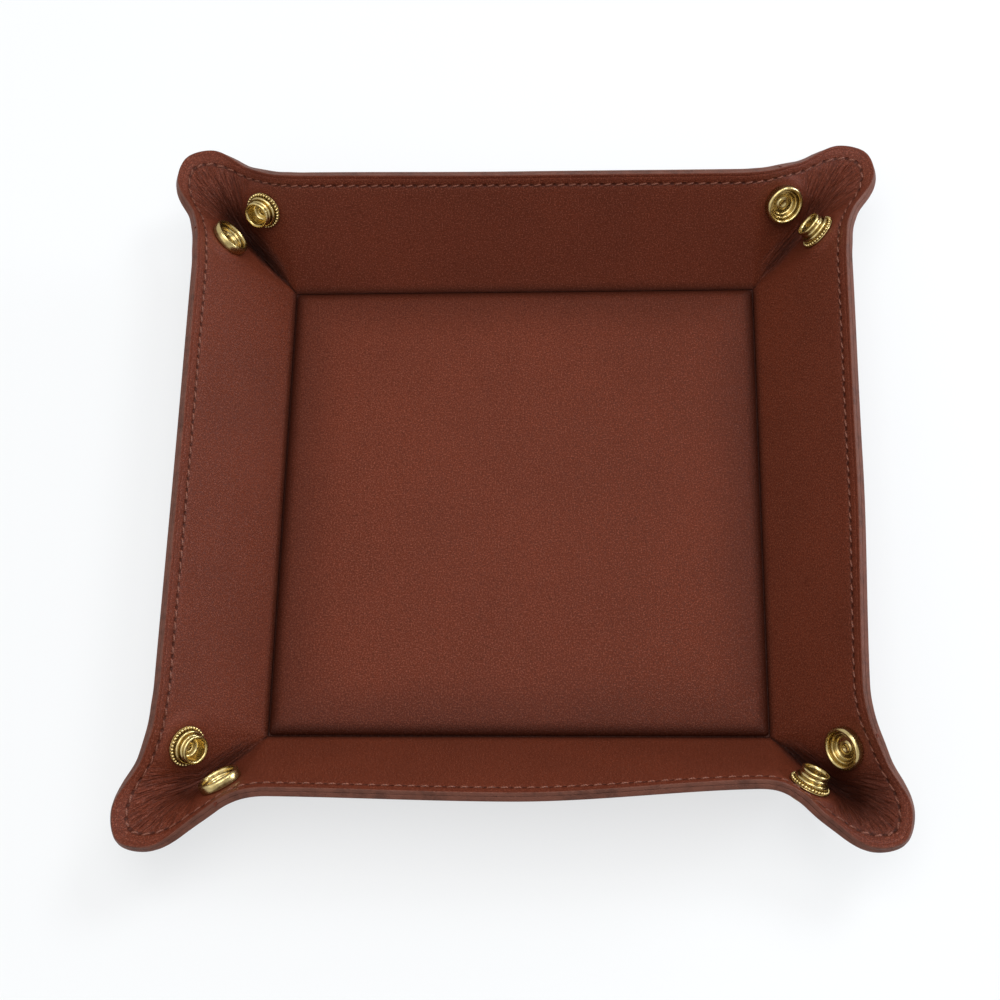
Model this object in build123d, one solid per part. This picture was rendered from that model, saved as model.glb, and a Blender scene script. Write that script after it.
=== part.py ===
from build123d import *
import os
from math import acos, asin, atan, cos, degrees, pi, radians, sin, sqrt, tan

# Snap valet tray: one square of lined leather whose four sides fold up from a
# stiffened base. The leather of each corner folds out into an ear, and a snap
# of two brass halves stands on the two inner faces of each ear.
# Millimetres, +Z up, +Y to the back. The origin is under the middle of the base.

# Overall sizes
base_side = 146.0
wall_height = 41.0
ear_corner_radius = 13.0

# Angles of a wall above the horizontal, in degrees: as it stands at rest, and
# where its snaps start to meet. Flat on the table is zero.
rest_lean = 55.0
highest_lean = 70.0

# Leather and boards
lining_thickness = 1.2
outer_thickness = 1.6
wall_board_thickness = 0.8
wall_thickness = lining_thickness + outer_thickness

# Fold lines: their height above the table, the gap round the rolled edge of
# the base, the gap that each side keeps from a fold of the corner, and the
# wider one at the fold where the corner's ring of folds is left open
fold_height = 3.0
fold_gap = 0.3
corner_fold_gap = 0.15
open_fold_gap = 0.6
ball_gap = 0.5

# Base: outer leather with a rolled rim, board, foam and the lining of the pad
base_leather_thickness = 1.0
base_board_thickness = 1.6
base_rim_width = 2.0
base_board_gap = 0.2
pad_side_gap = 0.4
pad_edge_rise = 2.2
pad_crown = 0.5
pad_edge_radius = 1.1
pad_corner_radius = 3.0
pad_lining_thickness = 1.2
foam_gap = 0.1
foam_side_gap = 1.0

# Boards in the walls: their distance from the fold line, the rim and the ends
wall_board_start = 4.5
wall_board_rim_margin = 6.5
wall_board_end_margin = 4.0
wall_board_gap = 0.1

# Stitches: how far inside the rim, their pitch, length and half width, and
# the distance that the end ones keep from the folds
stitch_inset = 3.6
stitch_pitch = 3.6
stitch_length = 2.6
stitch_radius = 0.35
stitch_end_margin = 1.4
stitch_fold_margin = 3.6

# Place of a snap on its half of an ear, from the rim and across from the end
# of the wall, and the rivet that holds it
snap_rim_distance = 13.0
snap_across = 9.0
rivet_radius = 1.8
rivet_hole_gap = 0.15
rivet_bore_gap = 0.1
rivet_reach = 1.3

# Snap cap on the outer face
cap_radius = 6.2
cap_height = 1.7
cap_rim_height = 0.5

# Stud: flange, shoulder, neck, rolled mouth and the cup inside
stud_flange_radius = 5.9
stud_flange_height = 0.9
stud_shoulder_radius = 4.9
stud_shoulder_height = 2.0
stud_neck_radius = 3.9
stud_neck_height = 3.6
stud_mouth_radius = 0.55
stud_cup_radius = 3.0
stud_floor_thickness = 1.0

# Socket: floor, rolled outer ring, ledge inside it, and the gap that the
# stud's mouth has in the hole
socket_radius = 6.2
socket_ring_radius = 0.7
socket_height = 2.8
socket_ledge_height = 1.6
socket_hole_gap = 0.2
socket_floor_thickness = 0.7

# Length by which a cutting shape runs past what it cuts
overrun = 5.0

half_side = base_side / 2
roll_radius = fold_height + fold_gap
ball_radius = fold_height + ball_gap
corner_centre = wall_height - ear_corner_radius
snap_along = wall_height - snap_rim_distance


def ear_fold(lean):
    """Angle by which half an ear turns out from its wall, at a wall's lean.

    The two halves of an ear meet on the upright plane through the corner's
    diagonal while cos(lean) + sin(lean) sin(fold) = cos(fold).
    """
    lean_sine = sin(radians(lean))
    reach = sqrt(1 + lean_sine ** 2)
    return degrees(acos(cos(radians(lean)) / reach) - atan(lean_sine))


# At rest the two halves of an ear meet on the corner's diagonal. The mitres
# leave room for the highest lean
rest_ear_fold = ear_fold(rest_lean)
mitre_slope = tan(radians(ear_fold(highest_lean) / 2))


def plate(length, width, bottom, top):
    """Box about the Z axis between two heights."""
    return Pos(0, 0, (bottom + top) / 2) * Box(length, width, top - bottom)


def crowned_block(half, bottom, edge_rise, corner_radius):
    """Square block whose top is part of a large ball, with rounded corners."""
    ball = (half ** 2 + pad_crown ** 2) / (2 * pad_crown)
    top = bottom + edge_rise + pad_crown
    block = plate(2 * half, 2 * half, bottom, top)
    block = fillet(block.edges().filter_by(Axis.Z), corner_radius)
    return block & (Pos(0, 0, top - ball) * Sphere(ball))


def base_outer_leather():
    """Floor of outer leather with a rim that rolls round the four fold lines."""
    body = plate(base_side, base_side, 0, fold_height)
    roll = Pos(half_side, 0, fold_height) * Rot(X=90) * Cylinder(fold_height, base_side)
    ball = Pos(half_side, half_side, fold_height) * Sphere(fold_height)
    for quarter in range(4):
        body = body + Rot(Z=90 * quarter) * roll + Rot(Z=90 * quarter) * ball
    body = body - plate(base_side + 2 * roll_radius, base_side + 2 * roll_radius,
                        fold_height, fold_height + roll_radius)
    pocket = base_side - 2 * base_rim_width
    return body - plate(pocket, pocket, base_leather_thickness, fold_height + overrun)


def base_board():
    """Stiff board in the pocket of the base."""
    side = base_side - 2 * base_rim_width - 2 * base_board_gap
    return plate(side, side, base_leather_thickness, base_leather_thickness + base_board_thickness)


def base_lining():
    """Leather skin of the pad, seated on the rim of the base."""
    half = half_side - pad_side_gap
    outside = crowned_block(half, fold_height, pad_edge_rise, pad_corner_radius)
    outside = fillet(outside.faces().sort_by(Axis.Z)[-1].edges(), pad_edge_radius)
    inside = crowned_block(half - pad_lining_thickness, fold_height - overrun,
                           pad_edge_rise + overrun - pad_lining_thickness,
                           pad_corner_radius - pad_lining_thickness)
    return outside - inside


def base_foam():
    """Thin foam that puffs the pad up over the board."""
    bottom = base_leather_thickness + base_board_thickness
    half = half_side - base_rim_width - foam_side_gap
    rise = fold_height + pad_edge_rise - pad_lining_thickness - foam_gap - bottom
    return crowned_block(half, bottom, rise, pad_corner_radius)


def wall_layer(top, bottom):
    """Layer of a wall laid flat: X runs from the fold line to the rim, Z is zero
    on the lining's face. Its ends are mitred for the folds of the ears."""
    top_half = half_side - corner_fold_gap + top * mitre_slope
    bottom_half = half_side - corner_fold_gap + bottom * mitre_slope
    section = Polyline((-top_half, top), (top_half, top), (bottom_half, bottom),
                       (-bottom_half, bottom), close=True)
    layer = extrude(Plane.YZ * make_face(section), amount=wall_height)
    layer = layer - Rot(X=90) * Cylinder(roll_radius, base_side + overrun)
    for end in (-half_side, half_side):
        layer = layer - Pos(0, end, 0) * Sphere(ball_radius)
    return layer


def wall_board(gap):
    """Board of a wall, or the pocket that holds it with a gap round its edge."""
    start = wall_board_start - gap
    end = wall_height - wall_board_rim_margin + gap
    width = base_side - 2 * wall_board_end_margin + 2 * gap
    board = plate(end - start, width, -lining_thickness - wall_board_thickness, -lining_thickness)
    return Pos((start + end) / 2, 0, 0) * board


def stitch():
    """One stitch: half a round rod along Y that lies on a face."""
    half_disc = make_face([Line((-stitch_radius, 0), (stitch_radius, 0)),
                           CenterArc((0, 0), stitch_radius, 0, 180)])
    rod = extrude(Plane.XZ * half_disc, amount=stitch_length)
    return Pos(0, stitch_length / 2, 0) * rod


def both_faces(places):
    """Stitches at places on the lining's face and on the outer leather's face."""
    rod = stitch()
    inner = [place * rod for place in places]
    outer = [Pos(0, 0, -wall_thickness) * place * Rot(Y=180) * rod for place in places]
    return Compound(children=inner + outer)


def wall_stitching():
    """Row of stitches along the rim of a wall."""
    reach = base_side - 2 * stitch_end_margin - stitch_length
    count = int(reach / stitch_pitch)
    first = -count * stitch_pitch / 2
    row = wall_height - stitch_inset
    return both_faces([Pos(row, first + index * stitch_pitch, 0) for index in range(count + 1)])


def ear_outline(gap):
    """Half of the corner square laid flat, X along the wall's end and Y across,
    up to the diagonal less a gap. The far corner is rounded."""
    last_angle = pi / 4 - asin(gap / ear_corner_radius)
    middle_angle = last_angle / 2
    middle = (corner_centre + ear_corner_radius * cos(middle_angle),
              corner_centre + ear_corner_radius * sin(middle_angle))
    last = (corner_centre + ear_corner_radius * cos(last_angle),
            corner_centre + ear_corner_radius * sin(last_angle))
    start = (gap * sqrt(2), 0)
    side = (wall_height, 0)
    arc_start = (wall_height, corner_centre)
    return make_face([Line(start, side), Line(side, arc_start),
                      ThreePointArc(arc_start, middle, last), Line(last, start)])


def diagonal_roll(inner_radius, outer_radius):
    """Quarter of a tube round the diagonal, beyond the first half of the ear."""
    across = Plane(origin=(0, 0, 0), x_dir=(-1, 1, 0), z_dir=(1, 1, 0))
    shelf = 2 * corner_fold_gap
    half_root = sqrt(1 / 2)
    lines = [Line((-shelf, -outer_radius), (0, -outer_radius)),
             ThreePointArc((0, -outer_radius), (outer_radius * half_root, -outer_radius * half_root),
                           (outer_radius, 0))]
    if inner_radius > 0:
        lines += [Line((outer_radius, 0), (inner_radius, 0)),
                  ThreePointArc((inner_radius, 0), (inner_radius * half_root, -inner_radius * half_root),
                                (0, -inner_radius)),
                  Line((0, -inner_radius), (-shelf, -inner_radius)),
                  Line((-shelf, -inner_radius), (-shelf, -outer_radius))]
    else:
        lines += [Line((outer_radius, 0), (-shelf, 0)), Line((-shelf, 0), (-shelf, -outer_radius))]
    tube = extrude(across * make_face(lines), amount=wall_height * sqrt(2))
    rounded = Pos(wall_height / 2, wall_height / 2, -wall_thickness / 2) * Box(
        wall_height, wall_height, wall_thickness)
    far_corner = rounded.edges().filter_by(Axis.Z).sort_by_distance((wall_height, wall_height, 0))[0]
    return tube & fillet(far_corner, ear_corner_radius)


def ear_layer(top, bottom, rolled):
    """Layer of half an ear laid flat. A rolled half hangs from its wall and
    wraps round the diagonal. The other half hangs from that roll, is cut back
    to make room for it, and keeps a wider gap from its own wall."""
    flat = extrude(Pos(0, 0, bottom) * ear_outline(corner_fold_gap), amount=top - bottom)
    if rolled:
        flat = flat + diagonal_roll(-top, -bottom)
    else:
        along = Plane(origin=(0, 0, 0), z_dir=(1, 1, 0))
        flat = flat - along * Cylinder(wall_thickness + fold_gap, 4 * wall_height)
    wall_gap = corner_fold_gap if rolled else open_fold_gap
    mitre_top = wall_gap - overrun * mitre_slope
    mitre_bottom = wall_gap + (wall_thickness + overrun) * mitre_slope
    wedge = Polyline((-wall_height, overrun), (mitre_top, overrun),
                     (mitre_bottom, -wall_thickness - overrun),
                     (-wall_height, -wall_thickness - overrun), close=True)
    flat = flat - extrude(Plane.YZ * make_face(wedge), amount=wall_height + overrun)
    flat = flat - Sphere(ball_radius)
    hole = Cylinder(rivet_radius + rivet_hole_gap, 4 * wall_thickness)
    return flat - Pos(snap_along, snap_across, 0) * hole


def ear_stitching():
    """Stitches along the straight rim of half an ear and round its lobe."""
    row = wall_height - stitch_inset
    bend = ear_corner_radius - stitch_inset
    first = stitch_end_margin + stitch_length / 2
    places = []
    length = first
    while True:
        angle = (length - corner_centre) / bend
        if angle < 0:
            place = Pos(row, length, 0)
            beside = row - length
        else:
            x = corner_centre + bend * cos(angle)
            y = corner_centre + bend * sin(angle)
            place = Pos(x, y, 0) * Rot(Z=degrees(angle))
            beside = x - y
        if beside / sqrt(2) < stitch_fold_margin + stitch_length / 2:
            break
        places.append(place)
        length += stitch_pitch
    return both_faces(places)


def turned(outline):
    """Solid of revolution about Z from a closed outline of lines and arcs."""
    return revolve(Plane.XZ * make_face(outline), axis=Axis.Z)


def chain(points):
    """Lines from point to point, back to the first."""
    return Polyline(*points, close=True)


def cap():
    """Domed cap on the outer face, with the rivet that goes through the ear."""
    ball = (cap_radius ** 2 + (cap_height - cap_rim_height) ** 2) / (2 * (cap_height - cap_rim_height))
    crown = -wall_thickness - cap_height
    half_way = cap_radius / 2
    dome_middle = (half_way, crown + ball - sqrt(ball ** 2 - half_way ** 2))
    rim = (cap_radius, -wall_thickness - cap_rim_height)
    points = [rim, (cap_radius, -wall_thickness), (rivet_radius, -wall_thickness),
              (rivet_radius, rivet_reach), (0, rivet_reach), (0, crown)]
    return turned([ThreePointArc((0, crown), dome_middle, rim), Polyline(*points)])


def stud():
    """Male half of a snap: flange, shoulder and a hollow neck with a rolled mouth."""
    bore = rivet_radius + rivet_bore_gap
    body = turned(chain([(bore, 0), (stud_flange_radius, 0), (stud_flange_radius, stud_flange_height),
                         (stud_shoulder_radius, stud_flange_height),
                         (stud_shoulder_radius, stud_shoulder_height),
                         (stud_neck_radius, stud_shoulder_height), (stud_neck_radius, stud_neck_height),
                         (stud_cup_radius, stud_neck_height), (stud_cup_radius, stud_floor_thickness),
                         (bore, stud_floor_thickness)]))
    mouth = Pos(0, 0, stud_neck_height) * Torus(stud_neck_radius - stud_mouth_radius / 2, stud_mouth_radius)
    flange_rim = body.edges().filter_by(GeomType.CIRCLE).group_by(Axis.Z)[1].sort_by(SortBy.RADIUS)[-1]
    return fillet(flange_rim, stud_flange_height / 2) + mouth


def socket():
    """Female half of a snap: rolled outer ring, a ledge inside it and a deep hole."""
    bore = rivet_radius + rivet_bore_gap
    ring_centre = socket_radius - socket_ring_radius
    ring_inside = ring_centre - socket_ring_radius
    ring_base = socket_height - socket_ring_radius
    hole = stud_neck_radius + stud_mouth_radius / 2 + socket_hole_gap
    outline = [Polyline((bore, 0), (socket_radius, 0), (socket_radius, ring_base)),
               ThreePointArc((socket_radius, ring_base), (ring_centre, socket_height),
                             (ring_inside, ring_base)),
               Polyline((ring_inside, ring_base), (ring_inside, socket_ledge_height),
                        (hole, socket_ledge_height), (hole, socket_floor_thickness),
                        (bore, socket_floor_thickness), (bore, 0))]
    return turned(outline)


def save(name, shape):
    """Write one piece to its own file."""
    shape.label = name
    export_step(shape, os.path.join("parts", name + ".step"))


def stand_wall(shape, quarter):
    """Raise a flat wall about its fold line, then turn it to its side of the base."""
    return Rot(Z=90 * quarter) * Pos(half_side, 0, fold_height) * Rot(Y=-rest_lean) * shape


def stand_ear(shape, quarter, far_end):
    """Fold half an ear out from its wall's end, and stand it with that wall."""
    folded = Rot(X=-rest_ear_fold) * shape
    if not far_end:
        folded = mirror(folded, about=Plane.XZ)
    end = half_side if far_end else -half_side
    return Rot(Z=90 * quarter) * Pos(half_side, end, fold_height) * Rot(Y=-rest_lean) * folded


def main():
    os.makedirs("parts", exist_ok=True)

    save("base_outer_leather", base_outer_leather())
    save("base_board", base_board())
    save("base_foam", base_foam())
    save("base_lining", base_lining())

    lining = wall_layer(0, -lining_thickness)
    leather = wall_layer(-lining_thickness, -wall_thickness) - wall_board(wall_board_gap)
    wall_pieces = {"lining": lining, "board": wall_board(0), "outer_leather": leather,
                   "stitching": wall_stitching()}

    # The near half of each ear hangs from its wall, wraps round the diagonal and
    # carries the socket. The far half of the next ear hangs from that roll and
    # carries the stud
    ear_pieces = {}
    for far_end, snap_name, snap in ((True, "stud", stud()), (False, "socket", socket())):
        ear_pieces[far_end] = {
            "lining": ear_layer(0, -lining_thickness, not far_end),
            "outer_leather": ear_layer(-lining_thickness, -wall_thickness, not far_end),
            "stitching": ear_stitching(),
            snap_name: Pos(snap_along, snap_across, 0) * snap,
            "cap": Pos(snap_along, snap_across, 0) * cap(),
        }

    # Going round from the right wall, each wall's far end is at the next wall
    sides = ["right", "back", "left", "front"]
    for quarter, side in enumerate(sides):
        for piece, shape in wall_pieces.items():
            save(side + "_wall_" + piece, stand_wall(shape, quarter))
        for far_end in (True, False):
            corner = sides[(quarter + (1 if far_end else -1)) % 4]
            for piece, shape in ear_pieces[far_end].items():
                save(side + "_" + corner + "_ear_" + piece, stand_ear(shape, quarter, far_end))


main()
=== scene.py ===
import bmesh
import bpy
import numpy as np
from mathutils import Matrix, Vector


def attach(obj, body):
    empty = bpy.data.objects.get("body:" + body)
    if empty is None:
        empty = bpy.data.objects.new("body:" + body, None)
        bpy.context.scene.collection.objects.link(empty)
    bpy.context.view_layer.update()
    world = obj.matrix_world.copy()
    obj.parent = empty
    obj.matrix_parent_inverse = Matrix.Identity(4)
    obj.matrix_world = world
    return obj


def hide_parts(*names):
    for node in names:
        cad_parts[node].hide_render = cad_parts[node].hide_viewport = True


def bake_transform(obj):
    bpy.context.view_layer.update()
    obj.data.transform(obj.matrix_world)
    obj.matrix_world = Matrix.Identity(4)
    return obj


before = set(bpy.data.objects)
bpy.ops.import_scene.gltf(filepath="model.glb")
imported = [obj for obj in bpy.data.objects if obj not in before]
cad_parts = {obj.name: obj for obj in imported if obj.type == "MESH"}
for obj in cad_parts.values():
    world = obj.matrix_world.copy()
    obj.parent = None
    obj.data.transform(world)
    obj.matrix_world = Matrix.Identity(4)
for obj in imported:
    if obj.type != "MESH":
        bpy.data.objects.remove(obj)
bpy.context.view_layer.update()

# Lengths are in metres and angles in degrees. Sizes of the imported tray
half_side = 0.073
wall_height = 0.041
lobe_radius = 0.013
fold_height = 0.003
lining_thickness = 0.0012
leather_thickness = 0.0028
layer_gap = 0.00005
board_thickness = 0.0008
board_start = 0.0045
board_rim_margin = 0.0065
board_end_margin = 0.004
snap_along = 0.028
snap_across = 0.009
rest_lean = 55.0

# How tightly the leather turns: half the angle over which a fold is rounded, at
# the ends of the walls and in the valley of an ear, close to the base and far out
end_fold_spread = 10.0
valley_spread_near = 6.0
valley_spread_far = 17.0
valley_near_reach = 0.012
valley_far_reach = 0.044
valley_middle = 12.0
valley_border = 32.0

# The lobe of an ear flares like a spout: angles round the corner, and there the
# way out along the diagonal, up, and sideways from the diagonal
flare_angles = (0, 12, 24, 34, 45)
flare_out = (0, -0.0008, -0.0017, 0.0009, 0.0028)
flare_up = (0, -0.0007, -0.0025, -0.0024, -0.0031)
flare_aside = (0, 0.0001, 0.0014, 0.0034, 0)
flare_power = 5
flare_blur = 4.0
flare_table_start = -20
flare_table_end = 66
flare_table_step = 0.5

# How far the rim of each wall stands out at its near end, middle and far end:
# right, back, left and front wall
rim_shifts = ((-0.0010, 0.0011, 0.0018), (-0.0017, -0.0013, -0.0001),
              (0.0017, 0.0015, 0.0016), (-0.0006, 0.0006, -0.0030))
rim_drop_share = 0.45
rim_shift_power = 1.5
rim_shift_angles = (-4.0, 26.0)

# How far each lobe's tip stands out past one wall, past the next one, and up:
# back right, back left, front left and front right
lobe_shifts = ((0.0008, 0.0014, 0), (0.0032, 0, 0), (0.0018, 0.0022, 0), (0.0012, -0.0006, 0))

# The valley's leather is pushed out below the flat halves of the ear, at each corner
valley_pushes = (0.0018, 0.0034, 0.0022, 0.0036)
valley_push_reach = (0.004, 0.014, 0.026, 0.041)
valley_push_width = 19.0
valley_push_power = 1.5

# The leather lies flat under a snap, and finds back to its own shape around it
snap_seat_radius = 0.0064
snap_seat_border = 0.0105

# The outer leather's offset near the base, where it wraps the fold line
wrap_out = 0.00132
wrap_start = 0.010
wrap_end = 0.025
wrap_inside = 0.0001
wrap_power = 3

# Cut edges and seam
edge_round = 0.00035
back_round = 0.00012
border_width = 0.0060
seam_inset = 0.0036
seam_pitch = 0.0036
seam_slant = 12.0
stitch_length = 0.0024
stitch_radius = 0.00027
stitch_rise = 0.00012
stitch_sink = 0.00030
stitch_dip_power = 4
stitch_end_share = 0.35
stitch_round_share = 0.96
channel_depth = 0.00016
channel_width = 0.0010
groove_inset = 0.00115
groove_depth = 0.00010
groove_width = 0.00022

# Painted shade on the leather: darker in the sewn channel, at the foot of the walls and in the valleys; the
# valleys' values go back right, back left, front left and front right
channel_painted_shade = 0.45
channel_painted_shade_width = 0.0005
foot_painted_shade = 0.9
foot_painted_shade_height = 0.0028
valley_painted_shades = (0.45, 1.0, 0.55, 1.0)
valley_painted_shade_widths = (22.0, 24.0, 24.0, 33.0)
valley_painted_shade_starts = (0.026, 0.027, 0.026, 0.034)
valley_painted_shade_fade = 0.019

# Pleats in the valley of an ear. They run along the diagonal up to the pinch between
# the snaps and fan out from it over the lobe
pleat_depth = 0.000085
pleat_start = 0.003
pleat_full = 0.012
pleat_middle = 22.0
pleat_border = 50.0
pleat_counts = (23, 41, 97, 149, 211)
pleat_twists = (5, -9, 21, -34, 47)
pleat_finest = 0.0005
pleat_plain = 0.0010
pleat_inset_share = 0.8
pinch_reach = 0.024
pinch_width = 0.006
fan_size = 0.025
fan_stretch = 0.10

# Where the sheets are split, as angles round a corner of the base
near_split = 104.0
ear_split = 74.0

# Cores inside the leather, on both sides of the open fold at a wall's far end and under the
# split of an ear: half a core's width, its share of the reach close to the corner, where it
# starts, its distance from the rim and from the faces, and how fast it thins to both sides
core_reach = 0.0030
core_spread_share = 0.36
core_start = 0.0008
core_rim_gap = 0.0005
core_cover = 0.0004
core_taper_share = 0.45
core_columns = 18

# Mesh sizes: rows and columns, the step that slopes are taken over, and how close the last
# ring of a closed face or of a turned piece comes to its middle
inner_rows = 22
ear_rows = 44
border_rows = 30
edge_rows = 5
wall_columns = 120
ridge_columns = 70
valley_columns = 300
first_share = 0.002
wrap_rows = 6
stitch_rings = 7
stitch_steps = 6
slope_step = 0.00001
closed_share = 0.98
axis_hole_share = 0.004

# Creases sharper than these angles show as edges
leather_sharp_angle = 40.0
stitch_sharp_angle = 60.0
snap_sharp_angle = 50.0

# Pad
pad_side_gap = 0.0003
pad_roll_width = 0.0048
pad_roll_height = 0.0024
pad_roll_power = 2.0
pad_crown = 0.0005
pad_crown_width = 0.040
pad_shoulder = 0.00130
pad_shoulder_width = 0.0200
# Painted shade at the pad's edge: full at the edge, fading over a narrow band, with a share of it fading over
# a wide band
pad_painted_shade_width = 0.0040
pad_painted_wide_shade = 0.42
pad_painted_wide_shade_width = 0.0200
pad_corner_radius = 0.0014
pad_corner_growth = 0.45
pad_corner_steps = 12
pad_side_steps = 60
pad_rows = 70
pad_row_power = 2.2
underside_thickness = 0.0029

# Brass snaps: their radius, and their outlines from the axis outwards and back,
# as shares of that radius (across, up)
snap_radius = 0.0062
stud_outline_shares = ((0, 0.01), (0.90, 0.01), (0.94, 0.03), (0.952, 0.06), (0.94, 0.09), (0.90, 0.10),
                       (0.80, 0.10), (0.78, 0.13), (0.775, 0.22), (0.80, 0.27), (0.80, 0.33), (0.77, 0.375),
                       (0.72, 0.385), (0.68, 0.36), (0.665, 0.33), (0.655, 0.36), (0.655, 0.42),
                       (0.675, 0.46), (0.675, 0.51), (0.65, 0.55), (0.625, 0.56), (0.62, 0.62),
                       (0.645, 0.66), (0.680, 0.70), (0.680, 0.745), (0.655, 0.785),
                       (0.61, 0.80), (0.565, 0.785), (0.53, 0.74), (0.52, 0.68), (0.505, 0.50), (0.49, 0.26),
                       (0.44, 0.19), (0.36, 0.175), (0.30, 0.18), (0.285, 0.21), (0.27, 0.235),
                       (0.235, 0.245), (0.195, 0.235), (0.17, 0.20), (0.15, 0.13), (0, 0.11))
socket_outline_shares = ((0, 0.01), (0.96, 0.01), (0.99, 0.03), (1.0, 0.07), (1.0, 0.33), (0.985, 0.385),
                         (0.95, 0.43), (0.90, 0.452), (0.85, 0.445), (0.81, 0.41), (0.79, 0.35),
                         (0.785, 0.24), (0.775, 0.20), (0.76, 0.215), (0.735, 0.255), (0.705, 0.27),
                         (0.67, 0.26), (0.645, 0.225), (0.635, 0.16), (0.625, 0.10), (0.61, 0.085),
                         (0.585, 0.11), (0.555, 0.12), (0.525, 0.105), (0.51, 0.06), (0.50, 0.045),
                         (0.36, 0.045), (0.30, 0.05), (0.28, 0.07), (0.26, 0.09), (0.22, 0.10),
                         (0.17, 0.09), (0.12, 0.055), (0, 0.045))
cap_outline_shares = ((0, -0.02), (0.96, -0.02), (1.0, 0.02), (0.995, 0.06), (0.965, 0.095), (0.92, 0.12),
                      (0.85, 0.15), (0.70, 0.195), (0.52, 0.235), (0.30, 0.262), (0.12, 0.27), (0, 0.27))
snap_steps = 72
pearl_count = 33
pearl_ring_share = 0.868
pearl_radius_share = 0.084
pearl_height_share = 0.135
pearl_steps = 8
pearl_rows = 6
pearl_pole_radians = 0.06

# Colours
brown = (0.138, 0.0255, 0.0095, 1)
edge_brown = (0.125, 0.045, 0.029, 1)
speck_brown = (0.24, 0.074, 0.042, 1)
brass_bright = (0.52, 0.41, 0.19, 1)
brass_dull = (0.36, 0.27, 0.11, 1)
thread_dark = (0.075, 0.019, 0.009, 1)
thread_light = (0.21, 0.062, 0.030, 1)
board_dark = (0.30, 0.24, 0.17, 1)
board_light = (0.52, 0.44, 0.33, 1)
floor_colour = (0.86, 0.87, 0.875, 1)
backdrop_colour = (0.925, 0.94, 0.95, 1)

# Leather grain: its cells' scale, the noises' scales as shares of it, and their heights
grain_scale = 2000.0
grain_bump_height = 0.00011
wobble_scale_share = 0.35
wobble_size = 0.0007
fine_scale_share = 2.6
coarse_scale_share = 0.09
hide_scale_share = 0.014
pillow_width = 0.32
pillow_height_share = 0.6
fine_height_share = 0.35
coarse_height_share = 0.8

# Leather finish. A range says where an effect starts and where it is full, a strength how
# much of it shows, a dark share how dark it is against the leather's own colour, and a depth
# share how deep it is against the grain's relief
tone_range = (0.3, 0.7)
pore_range = (0.0, 0.8)
pore_strength = 0.75
pore_dark_share = 0.45
speck_scale_share = 1.1
speck_range = (0.50, 0.70)
speck_strength = 0.60
# Painted shade, read from the values that each piece carries for it
painted_shade_strength = 0.85
painted_shade_dark_share = 0.12
grain_height_range = (0.2, 1.4)
rough_in_grain = 0.1
rough_on_grain = -0.06
paint_range = (0.25, 0.75)
paint_wear_scale = 260.0
paint_wear_range = (0.4, 0.7)
paint_wear_dark_share = 0.6
wrinkle_scale = 640.0
wrinkle_width = 0.05
wrinkle_depth_share = 1.5
# Painted shade in the wrinkle lines: how much of it shows, and how dark it is
wrinkle_painted_shade_strength = 0.45
wrinkle_painted_shade_share = 0.2
hole_run_range = (0.35, 0.95)
hole_reach_range = (0.0002, 0.0006)
hole_depth_share = 2.0
# Painted shade in the needle holes: how much of it shows, and how dark it is
hole_painted_shade_strength = 0.5
hole_painted_shade_share = 0.1

# Brass, thread and board: scales of their patterns, ranges, roughness and relief
brass_cloud_scale = 320.0
brass_cloud_range = (0.35, 0.7)
brass_scuff_scale = 2600.0
brass_scuff_range = (0.3, 0.75)
brass_rough_range = (0.16, 0.30)
brass_relief_share = 0.12
brass_relief = 0.00004
thread_twist_scale = 900.0
thread_fuzz_scale = 5200.0
thread_rough_range = (0.5, 0.75)
thread_relief_share = 0.6
thread_relief = 0.00008
board_stretch = (1.0, 6.0, 1.0)
board_fibre_scale = 240.0
board_rough_range = (0.75, 0.92)
board_relief_share = 0.4
board_relief = 0.0001
plain_range = (0.3, 0.7)

# View of the photograph
camera_place = (0.02595, -0.21108, 0.52681)
camera_turn = (22.083, 2.940, 0.911)
camera_lens = 66.68
camera_shift = -0.0063
camera_near = 0.01

# Floor and world
floor_half = 12.0
floor_rough = 0.8
floor_shine = 0.1
floor_lift_share = 0.70
floor_cloud_scale = 2.0
floor_cloud_share = 0.985
world_strength = 0.39
world_lift = 0.5

# Lamps: name, place, size, power and colour
lamps = (("key_lamp", (0.02, 0.0, 1.45), 1.0, 12.0, (1.0, 0.985, 0.97)),
         ("fill_lamp", (-0.8, -0.55, 1.1), 1.2, 4.5, (0.97, 0.985, 1.0)),
         ("side_lamp", (1.20, 0.40, 0.30), 0.4, 8.5, (0.84, 0.90, 1.0)),
         ("corner_lamp", (0.62, 0.50, 1.00), 0.4, 6.0, (0.93, 0.96, 1.0)))

diagonal = np.pi / 4
lean = np.radians(rest_lean)
up_wall = np.array([np.cos(lean), 0, np.sin(lean)])
along_wall = np.array([0, 1.0, 0])
wall_normal = np.array([-np.sin(lean), 0, np.cos(lean)])
ear_fold = np.arccos(np.cos(lean) / np.hypot(1, np.sin(lean))) - np.arctan(np.sin(lean))
across_ear = np.cos(ear_fold) * along_wall - np.sin(ear_fold) * wall_normal
sides = ("right", "back", "left", "front")
lobe_centre = wall_height - lobe_radius
seam_straight = half_side + wall_height - lobe_radius
seam_bend = lobe_radius - seam_inset
seam_length = 2 * seam_straight + seam_bend * np.pi / 2
stitch_count = round(seam_length / seam_pitch)
stitch_spacing = seam_length / stitch_count
base_corner = np.array([half_side, half_side, fold_height])


# The leather as one sheet: flat coordinates to points in the tray

def smooth(value, low, high):
    """S-curve from 0 at low to 1 at high: three times the square less twice the cube."""
    share = np.clip((value - low) / (high - low), 0, 1)
    return share * share * (3 - 2 * share)


def swapped(vectors):
    """The mirror image in the upright plane through the corner's diagonal: x and y change places."""
    return vectors[..., [1, 0, 2]]


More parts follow.
